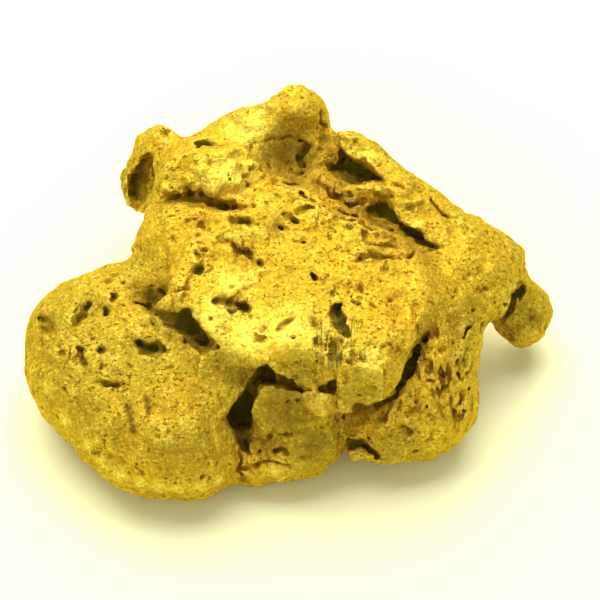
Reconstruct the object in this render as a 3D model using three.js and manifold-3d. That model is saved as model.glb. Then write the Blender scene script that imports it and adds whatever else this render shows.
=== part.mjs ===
// A gold nugget: one natural piece of native gold, water-worn into rounded lobes with clefts between them.
// Millimetres, +Z up. The origin is at the middle of the footprint, on the surface that the nugget
// rests on.
import * as THREE from "three";
import { ImprovedNoise } from "three/addons/math/ImprovedNoise.js";
import { mergeVertices } from "three/addons/utils/BufferGeometryUtils.js";
import Module from "manifold-3d";

// Driving dimensions.
const CELL = 0.6;
const LOBE_BLEND = 0.9; // how far two lobes melt into each other
const HOLLOW_BLEND = 0.35; // how far the rim of a hollow is worn round
const WEAR_DEPTH = 0.16; // height of the hammered unevenness
const WEAR_SPAN = 2.6; // width of one bump of it
const GRID_MARGIN = 1.5; // empty space round the lobes on the grid

// The lobes that melt together into the nugget: centre, radii, and turn about x, y and z in degrees.
const LOBES = [
  { name: "core", at: [1.0, -3.4, 4.0], radii: [7.6, 6.6, 3.6], turn: [8, 0, 0] },
  { name: "back", at: [0.4, 1.4, 4.0], radii: [6.0, 4.3, 4.1], turn: [0, 0, 12] },
  { name: "back_knuckle", at: [-3.2, 3.6, 3.4], radii: [2.2, 1.8, 2.0], turn: [0, 20, 0] },
  { name: "back_fold", at: [4.4, 2.4, 4.6], radii: [2.9, 1.5, 1.5], turn: [0, 25, -25] },
  { name: "plateau", at: [-0.6, -1.2, 6.2], radii: [6.0, 4.4, 2.5], turn: [6, 0, 0] },
  { name: "left_flank", at: [-5.3, -1.3, 5.5], radii: [2.5, 3.4, 2.9], turn: [10, 0, 0] },
  { name: "upper_left", at: [-3.9, 2.1, 7.4], radii: [2.7, 2.3, 1.9], turn: [-8, 0, 0] },
  { name: "brow_left", at: [-2.6, 3.9, 7.5], radii: [2.1, 1.8, 1.6], turn: [0, -8, 10] },
  { name: "brow", at: [-0.7, 4.3, 8.0], radii: [2.2, 1.8, 1.7], turn: [0, -8, 10] },
  { name: "peak", at: [0.6, 4.85, 8.75], radii: [1.5, 1.4, 1.5], turn: [0, 0, 0] },
  { name: "ridge_top", at: [3.2, 2.5, 7.9], radii: [2.4, 1.4, 1.5], turn: [0, 10, -32] },
  { name: "ridge_middle", at: [6.0, 0.3, 7.0], radii: [3.0, 1.5, 1.6], turn: [0, 14, -32] },
  { name: "shoulder", at: [8.5, -2.4, 5.4], radii: [3.3, 3.1, 2.2], turn: [0, 16, -24] },
  { name: "right_knob", at: [11.7, -2.9, 2.3], radii: [1.6, 1.7, 1.9], turn: [0, 0, 0] },
  { name: "knob_neck", at: [10.7, -2.2, 4.1], radii: [1.2, 1.2, 1.7], turn: [0, 0, 0] },
  { name: "right_flank", at: [6.5, -6.0, 4.2], radii: [3.1, 4.0, 3.3], turn: [0, 0, 0] },
  { name: "right_foot", at: [6.1, -8.7, 2.6], radii: [3.3, 3.1, 2.8], turn: [0, 0, 0] },
  { name: "middle_foot", at: [0.2, -9.9, 2.6], radii: [2.9, 3.1, 2.5], turn: [10, 0, 0] },
  { name: "front_web", at: [-1.7, -11.6, 1.3], radii: [1.3, 1.3, 1.2], turn: [0, 0, 0] },
  { name: "middle_knuckle", at: [-0.6, -10.4, 4.0], radii: [1.4, 1.3, 1.2], turn: [0, 0, 0] },
  { name: "shelf_block", at: [3.9, -8.6, 6.2], radii: [2.2, 2.3, 1.9], turn: [0, 0, 0] },
  { name: "tongue", at: [0.8, -8.7, 6.3], radii: [1.6, 1.7, 1.3], turn: [0, 0, 0] },
  { name: "foot_roll", at: [-3.0, -8.5, 4.9], radii: [1.2, 1.3, 1.4], turn: [0, 0, 0] },
  { name: "ear", at: [-7.1, 4.0, 5.6], radii: [1.25, 1.5, 3.1], turn: [0, 16, 0] },
];

// Flattened lobes: centre, outline in plan of the flat core, width over which the edge rounds over
// outside it, half height, and turn.
const PLATES = [
  {
    name: "left_foot",
    at: [-7.6, -8.2, 3.15],
    outline: [
      [-3.1, 2.6], [-3.0, 0.9], [-2.0, -0.7], [-0.3, -2.4], [1.0, -3.4], [2.5, -3.6], [2.6, -2.0],
      [2.8, 0.5], [1.5, 4.0], [-0.2, 4.2], [-2.4, 3.4],
    ],
    edge: 2.6,
    half: 2.9,
    turn: [9, 0, 0],
  },
  {
    name: "shelf",
    at: [0.5, -5.0, 7.25],
    outline: [
      [-6.6, -1.5], [-5.2, -1.8], [-4.6, -2.9], [-3.6, -3.9], [-1.9, -4.7], [1.0, -4.6], [2.0, -5.4],
      [3.6, -5.4], [4.5, -4.6], [5.0, -3.0], [5.8, -0.4], [5.0, 2.6], [0.0, 5.0], [-5.0, 2.0],
    ],
    edge: 0.6,
    half: 0.9,
    turn: [9, 0, 0],
  },
];

// Hollows worn or dissolved out of the lobes: centre, radii and turn.
const HOLLOWS = [
  { name: "basin", at: [0.4, 1.9, 9.5], radii: [1.7, 2.0, 1.6], turn: [0, 0, 0] },
  { name: "basin_right", at: [3.2, -0.8, 9.4], radii: [3.4, 1.6, 1.3], turn: [0, 8, -30] },
  { name: "ridge_pocket", at: [3.1, 1.6, 8.3], radii: [1.9, 0.8, 0.9], turn: [0, 10, -30] },
  { name: "ear_hollow", at: [-7.7, 3.0, 5.6], radii: [0.6, 0.9, 1.5], turn: [0, 18, 0] },
  { name: "front_cave", at: [-2.4, -10.2, 4.0], radii: [0.9, 1.3, 2.1], turn: [35, 0, 0] },
  { name: "left_hollow", at: [-8.6, -2.6, 0.6], radii: [3.0, 2.4, 2.6], turn: [0, 0, 0] },
  { name: "under_right", at: [8.6, -1.6, 0.2], radii: [2.2, 3.6, 2.2], turn: [0, 0, 0] },
  { name: "back_dent", at: [1.2, 6.6, 4.6], radii: [1.8, 1.5, 1.6], turn: [0, 0, 0] },
];

// Clefts between lobes: points near the surface, which each cleft follows, and its radius at each.
const CLEFTS = [
  {
    name: "left_cleft",
    path: [[-7.5, -4.9, 6.5, 0.4], [-6.4, -5.5, 6.2, 0.7], [-5.2, -6.5, 5.7, 0.8], [-3.9, -7.6, 5.6, 0.7]],
  },
  { name: "cave_roof", path: [[-1.6, -9.6, 5.6, 0.6], [0.2, -10.2, 5.1, 0.5], [2.2, -10.3, 4.9, 0.5]] },
  {
    name: "right_crack",
    path: [[6.9, -8.0, 7.1, 0.4], [6.0, -9.2, 6.3, 0.55], [5.2, -10.4, 5.3, 0.5], [3.6, -11.0, 4.8, 0.6]],
  },
  { name: "ridge_crack", path: [[4.2, -0.4, 7.9, 0.5], [5.6, -1.9, 7.7, 0.6], [7.2, -3.2, 7.4, 0.4]] },
  { name: "upper_crack", path: [[-6.2, 0.4, 7.4, 0.45], [-4.2, -0.2, 8.2, 0.5], [-2.2, -0.9, 8.5, 0.5]] },
  { name: "peak_notch", path: [[1.9, 3.7, 9.4, 0.4], [2.1, 3.0, 8.8, 0.4]] },
];

// How far below the surface of the lobes a cleft's middle runs, as a share of its radius.
const CLEFT_SINK = 0.4;

const noise = new ImprovedNoise();

// The matrix that carries a point of the nugget into a feature's own axes.
function ownAxes({ at, turn }) {
  const [x, y, z] = turn.map(THREE.MathUtils.degToRad);
  const place = new THREE.Matrix4().makeRotationFromEuler(new THREE.Euler(x, y, z));
  return place.setPosition(...at).invert();
}

const features = (list) => list.map((feature) => ({ ...feature, inverse: ownAxes(feature) }));
const lobes = features(LOBES);
const plates = features(PLATES);
const hollows = features(HOLLOWS);
const clefts = [];

// Distances are negative inside, as in every function below.
const local = new THREE.Vector3();

function ellipsoidDistance(point, { inverse, radii: [a, b, c] }) {
  local.copy(point).applyMatrix4(inverse);
  const near = Math.hypot(local.x / a, local.y / b, local.z / c);
  const steep = Math.hypot(local.x / a ** 2, local.y / b ** 2, local.z / c ** 2);
  return steep === 0 ? -Math.min(a, b, c) : (near * (near - 1)) / steep;
}

// Distance in plan to a closed outline.
function outlineDistance(x, y, outline) {
  let nearest = Infinity;
  let inside = false;
  outline.forEach(([x1, y1], n) => {
    const [x0, y0] = outline.at(n - 1);
    const [dx, dy] = [x1 - x0, y1 - y0];
    const along = THREE.MathUtils.clamp(((x - x0) * dx + (y - y0) * dy) / (dx * dx + dy * dy), 0, 1);
    nearest = Math.min(nearest, Math.hypot(x - x0 - along * dx, y - y0 - along * dy));
    if (y0 > y !== y1 > y && x < x0 + ((y - y0) / dy) * dx) inside = !inside;
  });
  return inside ? -nearest : nearest;
}

function plateDistance(point, { inverse, outline, half, edge }) {
  local.copy(point).applyMatrix4(inverse);
  const out = Math.max(outlineDistance(local.x, local.y, outline), 0);
  const up = (Math.abs(local.z) * edge) / half;
  return (Math.hypot(out, up) - edge) * Math.min(half / edge, 1);
}

// Distance to the capsules that run along a cleft.
function cleftDistance(point, middles) {
  let nearest = Infinity;
  for (let n = 1; n < middles.length; n++) {
    const [start, end] = [middles[n - 1], middles[n]];
    const along = end.at.clone().sub(start.at);
    const reach = local.copy(point).sub(start.at).dot(along) / along.lengthSq();
    const share = THREE.MathUtils.clamp(reach, 0, 1);
    const radius = THREE.MathUtils.lerp(start.radius, end.radius, share);
    nearest = Math.min(nearest, point.distanceTo(along.multiplyScalar(share).add(start.at)) - radius);
  }
  return nearest;
}

// The smaller of two distances, with the corner between them rounded over a stretch.
function smoothMin(a, b, stretch) {
  const share = Math.max(stretch - Math.abs(a - b), 0) / stretch;
  return Math.min(a, b) - (share * share * stretch) / 4;
}

const smoothMax = (a, b, stretch) => -smoothMin(-a, -b, stretch);

function wear({ x, y, z }) {
  return WEAR_DEPTH * noise.noise(x / WEAR_SPAN + 7.3, y / WEAR_SPAN + 2.9, z / WEAR_SPAN + 5.1);
}

function lobesDistance(point) {
  let distance = Infinity;
  for (const lobe of lobes) distance = smoothMin(distance, ellipsoidDistance(point, lobe), LOBE_BLEND);
  for (const plate of plates) distance = smoothMin(distance, plateDistance(point, plate), LOBE_BLEND);
  return distance;
}

function nuggetDistance(point) {
  let distance = lobesDistance(point);
  for (const hollow of hollows) {
    distance = smoothMax(distance, -ellipsoidDistance(point, hollow), HOLLOW_BLEND);
  }
  for (const cleft of clefts) {
    distance = smoothMax(distance, -cleftDistance(point, cleft), HOLLOW_BLEND);
  }
  return distance + wear(point);
}

function slopeOf(distance, point, step) {
  const here = distance(point);
  return new THREE.Vector3(
    distance(point.clone().setX(point.x + step)) - here,
    distance(point.clone().setY(point.y + step)) - here,
    distance(point.clone().setZ(point.z + step)) - here,
  ).divideScalar(step);
}

// Lays a cleft along the surface of the lobes, sunk in by part of its radius.
function laid({ path }) {
  return path.map(([x, y, z, radius]) => {
    const at = new THREE.Vector3(x, y, z);
    for (let n = 0; n < 8; n++) {
      const excess = lobesDistance(at) + radius * CLEFT_SINK;
      at.addScaledVector(slopeOf(lobesDistance, at, 0.01).normalize(), -excess);
    }
    return { at, radius };
  });
}

clefts.push(...CLEFTS.map(laid));

// The box that holds every lobe and slab, with a margin.
function gridBox() {
  const box = new THREE.Box3();
  for (const { at, radii, outline, edge } of [...lobes, ...plates]) {
    const reach = radii ? Math.max(...radii) : edge + Math.max(...outline.flat().map(Math.abs));
    box.expandByPoint(new THREE.Vector3(...at).addScalar(reach));
    box.expandByPoint(new THREE.Vector3(...at).addScalar(-reach));
  }
  return box.expandByScalar(GRID_MARGIN);
}

// Draws the zero surface of a distance function as a closed mesh: one vertex in each grid cell that
// the surface crosses, and one quad across each grid edge that it crosses.
function surfaceOf(distance, box, cell) {
  const size = box.getSize(new THREE.Vector3());
  const count = [size.x, size.y, size.z].map((length) => Math.ceil(length / cell) + 1);
  const stride = [1, count[0], count[0] * count[1]];
  const values = new Float64Array(count[0] * count[1] * count[2]);
  const corner = (i, j, k) => new THREE.Vector3(i, j, k).multiplyScalar(cell).add(box.min);
  for (let k = 0, n = 0; k < count[2]; k++) {
    for (let j = 0; j < count[1]; j++) {
      for (let i = 0; i < count[0]; i++, n++) values[n] = distance(corner(i, j, k));
    }
  }
  closeNarrowGaps(values, count, stride, cell);

  const positions = [];
  const vertexOf = new Int32Array(values.length).fill(-1);
  for (let k = 0; k < count[2] - 1; k++) {
    for (let j = 0; j < count[1] - 1; j++) {
      for (let i = 0; i < count[0] - 1; i++) {
        const n = i + j * stride[1] + k * stride[2];
        const vertex = cellVertex(values, n, stride);
        if (!vertex) continue;
        const point = settle(corner(i, j, k).addScaledVector(vertex, cell), distance, cell);
        vertexOf[n] = positions.length / 3;
        positions.push(point.x, point.y, point.z);
      }
    }
  }

  const triangles = [];
  for (let k = 1; k < count[2] - 1; k++) {
    for (let j = 1; j < count[1] - 1; j++) {
      for (let i = 1; i < count[0] - 1; i++) {
        const n = i + j * stride[1] + k * stride[2];
        for (let axis = 0; axis < 3; axis++) {
          const inside = values[n] < 0;
          if (inside === values[n + stride[axis]] < 0) continue;
          const u = stride[(axis + 1) % 3];
          const v = stride[(axis + 2) % 3];
          const quad = [n, n - u, n - u - v, n - v].map((at) => vertexOf[at]);
          if (!inside) quad.reverse();
          addQuad(triangles, positions, quad);
        }
      }
    }
  }
  const geometry = new THREE.BufferGeometry();
  geometry.setAttribute("position", new THREE.Float32BufferAttribute(positions, 3));
  return geometry.setIndex(triangles);
}

// A cell's corners have numbers whose bits say how far each lies along x, y and z. True if a set of
// corners hangs together along the cell's edges.
function isJoined(corners) {
  const reached = new Set(corners.slice(0, 1));
  for (const corner of reached) {
    for (const bit of [1, 2, 4]) {
      if (corners.includes(corner ^ bit)) reached.add(corner ^ bit);
    }
  }
  return reached.size === corners.length;
}

// Fills gaps thinner than a cell, so that the surface passes through each cell only once.
function closeNarrowGaps(values, count, stride, cell) {
  const offsets = Array.from({ length: 8 }, (_, corner) =>
    [0, 1, 2].reduce((sum, axis) => sum + ((corner >> axis) & 1) * stride[axis], 0),
  );
  const last = count[0] * count[1] * count[2] - offsets[7];
  let filled = 1;
  while (filled > 0) {
    filled = 0;
    for (let n = 0; n < last; n++) {
      const corners = offsets.map((_, corner) => corner);
      const inside = corners.filter((corner) => values[n + offsets[corner]] < 0);
      if (inside.length === 0 || inside.length === 8) continue;
      const outside = corners.filter((corner) => !inside.includes(corner));
      if (isJoined(inside) && isJoined(outside)) continue;
      const nearest = outside.reduce((a, b) => (values[n + offsets[b]] < values[n + offsets[a]] ? b : a));
      values[n + offsets[nearest]] = -0.05 * cell;
      filled++;
    }
  }
}

// The mean of the places where the surface crosses a cell's edges, from 0 to 1 along each axis.
function cellVertex(values, n, stride) {
  const sum = new THREE.Vector3();
  let crossings = 0;
  for (let axis = 0; axis < 3; axis++) {
    const [side, other] = [(axis + 1) % 3, (axis + 2) % 3];
    for (const [a, b] of [[0, 0], [1, 0], [0, 1], [1, 1]]) {
      const start = n + a * stride[side] + b * stride[other];
      const [low, high] = [values[start], values[start + stride[axis]]];
      if (low < 0 === high < 0) continue;
      const at = [0, 0, 0];
      at[axis] = low / (low - high);
      at[side] = a;
      at[other] = b;
      sum.add(new THREE.Vector3(...at));
      crossings++;
    }
  }
  return crossings ? sum.divideScalar(crossings) : null;
}

// Moves a point onto the zero surface, by at most part of a cell.
function settle(point, distance, cell) {
  const step = cell * 0.05;
  const start = point.clone();
  for (let round = 0; round < 3; round++) {
    const slope = slopeOf(distance, point, step);
    point.addScaledVector(slope, -distance(point) / Math.max(slope.lengthSq(), 0.25));
  }
  return start.add(point.sub(start).clampLength(0, cell * 0.3));
}

// Splits a quad along its shorter diagonal.
function addQuad(triangles, positions, [a, b, c, d]) {
  const at = (n) => new THREE.Vector3().fromArray(positions, n * 3);
  if (at(a).distanceTo(at(c)) <= at(b).distanceTo(at(d))) triangles.push(a, b, c, a, c, d);
  else triangles.push(b, c, d, b, d, a);
}

const wasm = await Module();
wasm.setup();

function solidOf(geometry) {
  const bare = new THREE.BufferGeometry();
  bare.setAttribute("position", geometry.getAttribute("position"));
  bare.setIndex(geometry.index);
  const merged = mergeVertices(bare, 1e-4);
  return new wasm.Manifold(
    new wasm.Mesh({
      numProp: 3,
      vertProperties: merged.attributes.position.array,
      triVerts: new Uint32Array(merged.index.array),
    }),
  );
}

function geometryOf(solid) {
  const { vertProperties, triVerts } = solid.getMesh();
  const geometry = new THREE.BufferGeometry();
  geometry.setAttribute("position", new THREE.BufferAttribute(vertProperties, 3));
  return geometry.setIndex(new THREE.BufferAttribute(triVerts, 1));
}

// Wears the underside flat at z = 0 where the nugget rests, with everything below cut away.
function restingOnFloor(geometry) {
  const depth = 10;
  const below = new THREE.BoxGeometry(100, 100, depth).translate(0, 0, -depth / 2);
  return geometryOf(solidOf(geometry).subtract(solidOf(below)));
}

// Moves the middle of the footprint to the origin.
function centred(geometry) {
  geometry.computeBoundingBox();
  const middle = geometry.boundingBox.getCenter(new THREE.Vector3());
  return geometry.translate(-middle.x, -middle.y, 0);
}

const gold = new THREE.MeshStandardMaterial({ color: 0xd9a930, metalness: 1, roughness: 0.42 });
const nugget = new THREE.Mesh(centred(restingOnFloor(surfaceOf(nuggetDistance, gridBox(), CELL))), gold);
nugget.name = "nugget";

const group = new THREE.Group();
group.add(nugget);

export default group;
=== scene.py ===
"""A gold nugget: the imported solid's shape, worked up into worn, cracked and pitted native gold.

The nugget is sculpted in millimetres as a block of voxels that hold the distance to its surface.
Objects, lights and the camera are in metres.
"""

import math
from functools import partialmethod

import bpy
import numpy as np
import openvdb
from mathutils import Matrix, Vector
from mathutils.bvhtree import BVHTree


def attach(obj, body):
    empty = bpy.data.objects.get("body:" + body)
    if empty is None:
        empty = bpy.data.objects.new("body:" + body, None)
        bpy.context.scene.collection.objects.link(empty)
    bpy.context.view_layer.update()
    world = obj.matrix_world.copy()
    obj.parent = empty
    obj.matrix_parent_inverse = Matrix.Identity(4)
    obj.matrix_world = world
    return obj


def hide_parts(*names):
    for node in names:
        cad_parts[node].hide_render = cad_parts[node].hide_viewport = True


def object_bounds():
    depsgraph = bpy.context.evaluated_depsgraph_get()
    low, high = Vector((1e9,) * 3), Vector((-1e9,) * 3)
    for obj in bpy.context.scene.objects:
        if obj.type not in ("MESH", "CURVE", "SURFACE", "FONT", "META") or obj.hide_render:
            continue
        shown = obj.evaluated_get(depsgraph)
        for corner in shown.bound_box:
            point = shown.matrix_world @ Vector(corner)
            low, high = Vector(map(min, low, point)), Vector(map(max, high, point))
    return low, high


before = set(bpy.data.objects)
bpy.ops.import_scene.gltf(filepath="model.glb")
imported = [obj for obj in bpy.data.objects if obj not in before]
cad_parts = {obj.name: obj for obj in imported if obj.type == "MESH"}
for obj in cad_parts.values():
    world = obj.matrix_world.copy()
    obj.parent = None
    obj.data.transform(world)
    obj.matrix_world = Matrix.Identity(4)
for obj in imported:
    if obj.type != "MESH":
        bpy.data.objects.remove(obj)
cad_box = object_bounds()

MM = 0.001
SEED = 20

# The camera looks along +Y and down, at a point inside the nugget (mm).
VIEW_ELEVATION = math.radians(50)
VIEW_DISTANCE = 250.0
VIEW_TARGET = np.array([0.46, 0.16, 4.6])
VIEW_WIDTH = 30.0
SENSOR = 36.0

VIEW_RIGHT = np.array([1.0, 0.0, 0.0])
VIEW_UP = np.array([0.0, math.sin(VIEW_ELEVATION), math.cos(VIEW_ELEVATION)])
VIEW_BACK = np.array([0.0, -math.cos(VIEW_ELEVATION), math.sin(VIEW_ELEVATION)])
EYE = VIEW_TARGET + VIEW_BACK * VIEW_DISTANCE

# The voxels, and the mesh made from them (mm).
VOXEL = 0.1
BAND = 0.9  # the distances are kept this far either side of the surface
PADDING = 2  # voxels round the nugget
FACET_BLUR = 0.28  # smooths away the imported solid's flat triangles
MOST_TRIANGLES = 190000
FLOOR_CLEARANCE = 0.01
BOX_CLEARANCE = 0.001

# Noise that makes marks ragged and pulls them out of shape (mm).
BUMP_PER_BLUR = 2.5  # size of noise's bumps against the blur that makes them
GRAIN_SIZE = 0.3
RAGGED = 0.035
CUT_RAGGED = 1.5 * RAGGED
WARP_SIZE = 0.7
WARP = 0.13
OUTLINE_WARP = 0.03

# Unevenness of the whole surface: (size of the bumps, height).
LUMPS = [(1.6, 0.05), (0.75, 0.03), (0.36, 0.016), (0.22, 0.014)]
LUMP_CLUMPING = 0.35  # how much higher they are in the pitted patches
# Winding creases: (spacing, depth, share of the spacing that they are wide).
CREASES = [(2.6, 0.09, 0.12), (1.1, 0.04, 0.16)]
CREASE_LENGTH = 0.3  # raises how much of its winding line each crease takes up

# Small pits scattered over the whole surface (mm).
SCATTERED_PITS = 1500
SCATTER_CLUMP = 2.2  # size of the pitted and the smoother patches
SCATTER_EVENNESS = 0.6
SCATTER_DENSITY = (0.08, 2.5)  # least and most
SCATTER_RADII = (0.05, 0.15)
SCATTER_SPREAD = 0.5  # of the logarithm of their radii
SCATTER_SHAPES = ([0.9, 0.6, 0.6], [2.4, 1.2, 1.2])  # least and most along each axis, in radii

# How each kind of mark is worked: adding or cutting, how rough it is against its size, and how far
# its rim is rounded (mm). A bump and a pit start with their half height against their height.
ADD, CUT = 1, -1
BUMP = (1.0, (ADD, 0.15, 0.25))
PIT = (0.7, (CUT, 0.45, 0.06))
CRACK = (CUT, 0.25, 0.04)
SCATTERED = (CUT, 0.45, 0.04)
THINNEST_MARK = 0.6 * VOXEL
MARK_REACH = 1.25  # in radii

# A crack is a row of pits. These are against its half width, or its depth.
CRACK_SPACING = 0.4
CRACK_WIDTHS = (0.8, 1.2)
CRACK_WANDER = 0.2
CRACK_DEPTHS = (0.7, 1.1)
CRACK_STRETCH = 1.5

# A group's marks: standard deviations across it, middle and spread of the logarithm of their sizes, and
# spread of their turns.
GROUP_SPREADS = 3
GROUP_SIZES = (-0.1, 0.4)
GROUP_TURN = 20

# Plates, cuts and holes seen through an outline (mm).
OUTLINE_MARGIN = 0.5
PLATE_REACH = 2.0
CUT_REACH = (-2.0, 8.0)  # behind and in front of the cut's floor
CUT_WALL = 0.3
CUT_RIM = 0.05
WALL_RISE = 1.5  # against the wall's width
CUT_FLOOR_ROUGHNESS = 2.0  # against the outline's
HOLE_WALL = 0.1
HOLE_WALL_GROWTH = 0.25  # against the hole's depth
HOLE_SAMPLES = (0.4, 0.9)  # where the surface is measured, from the outline's middle to its corners

# Relief (mm): how widely the distances are averaged, and the average on the surface that counts as
# full. It is negative in a hollow, and positive where the surface stands proud.
RELIEF = {"pit": (0.22, -0.16), "hollow": (0.8, -0.45), "proud": (0.22, 0.1)}

# A patch's strength at its middle, and how ragged its border is against its radius.
PATCH_MIDDLE = 1.25
PATCH_RAGGED = 0.12

# Gold and dirt, and colours that also paint shade and highlights.
GOLD = (0.72, 0.47, 0.026, 1)
OCHRE_GOLD = (0.86, 0.46, 0.02, 1)
# The next colour is also a painted highlight and a painted reflection on the lip, rims and edges.
PALE_GOLD = (0.97, 0.80, 0.12, 1)
# The next colour is also painted shade, on faces turned away from the light.
OLIVE_GOLD = (0.37, 0.265, 0.017, 1)
TORN_SHADE = (0.19, 0.14, 0.008, 1)
STAIN = (0.21, 0.105, 0.008, 1)
# The next colour is dirt, and also painted shade in hollows.
DIRT_AND_SHADE = (0.195, 0.16, 0.012, 1)
RUST = (0.13, 0.045, 0.006, 1)
# The next colour is near-black painted shade for the deepest hollows.
BLACK_SHADE = (0.085, 0.06, 0.006, 1)
EDGE_TINT = (1.0, 0.86, 0.5, 1)

# How strongly each colour covers what is under it.
PALE_COVER = 0.7
OLIVE_COVER = 0.8
STAIN_COVER = 0.84
RUST_COVER = 0.88
BLACK_COVER = 0.92

# Noise in the material: (size in mm, detail, roughness).
GRAINS = {
    "wide": (4.0, 3.0, 0.55),
    "middle": (1.3, 4.0, 0.6),
    "fine": (0.34, 3.0, 0.6),
    "grit": (0.16, 3.0, 0.65),
    "spots": (0.42, 2.0, 0.5),
    "dots": (0.2, 1.0, 0.5),
}
# The same for streaks and ticks, with how far they are squeezed across and turned in plan.
STREAKS = ((0.17, 3.0, 0.65), 0.12, 0.25)
TICKS = ((0.28, 1.0, 0.5), 0.35, 0.0)

METAL = 0.95  # of clean gold

# Heights of the material's own unevenness (mm).
FINE_HEIGHT = 0.08
GRIT_HEIGHT = 0.08
SPECK_DEPTH = 0.04
STREAK_HEIGHT = 0.35

# Floor, lights and world.
FLOOR_HALF = 3.0
FLOOR_COLOUR = (0.93, 0.95, 0.56, 1)
FLOOR_ROUGHNESS = 0.9
LIGHT_COLOUR = (1.0, 1.0, 0.97)
LIGHT_AIM = (0, 0, 0.004)
LIGHTS = [  # (name, place, size, power)
    ("overhead_softbox", (-0.05, 0.24, 0.43), 0.6, 5.0),
    ("front_softbox", (-0.1, -0.45, 0.25), 0.5, 0.75),
]
WORLD_STRENGTH = 0.44

# The marks below are placed by where they are seen from the eye: mm across and up from the middle
# of the view, on a plane through its target. Each lands where that line of sight meets the surface.

# Bumps: (across, up, length, width, turn in degrees, height).
BUMPS = [
    (-1.3, -8.65, 1.5, 0.5, 0, 0.3),
    (3, -7.75, 1, 0.45, -20, 0.35),
    (-4, 6.3, 3.6, 2, 15, 0.3),
    (5.9, 4.95, 0.7, 0.3, 20, 0.12),
    (-6.1, -0.1, 1, 0.7, 70, 0.3),
    (-5.2, -0.6, 0.6, 0.4, -60, 0.2),
]

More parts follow.
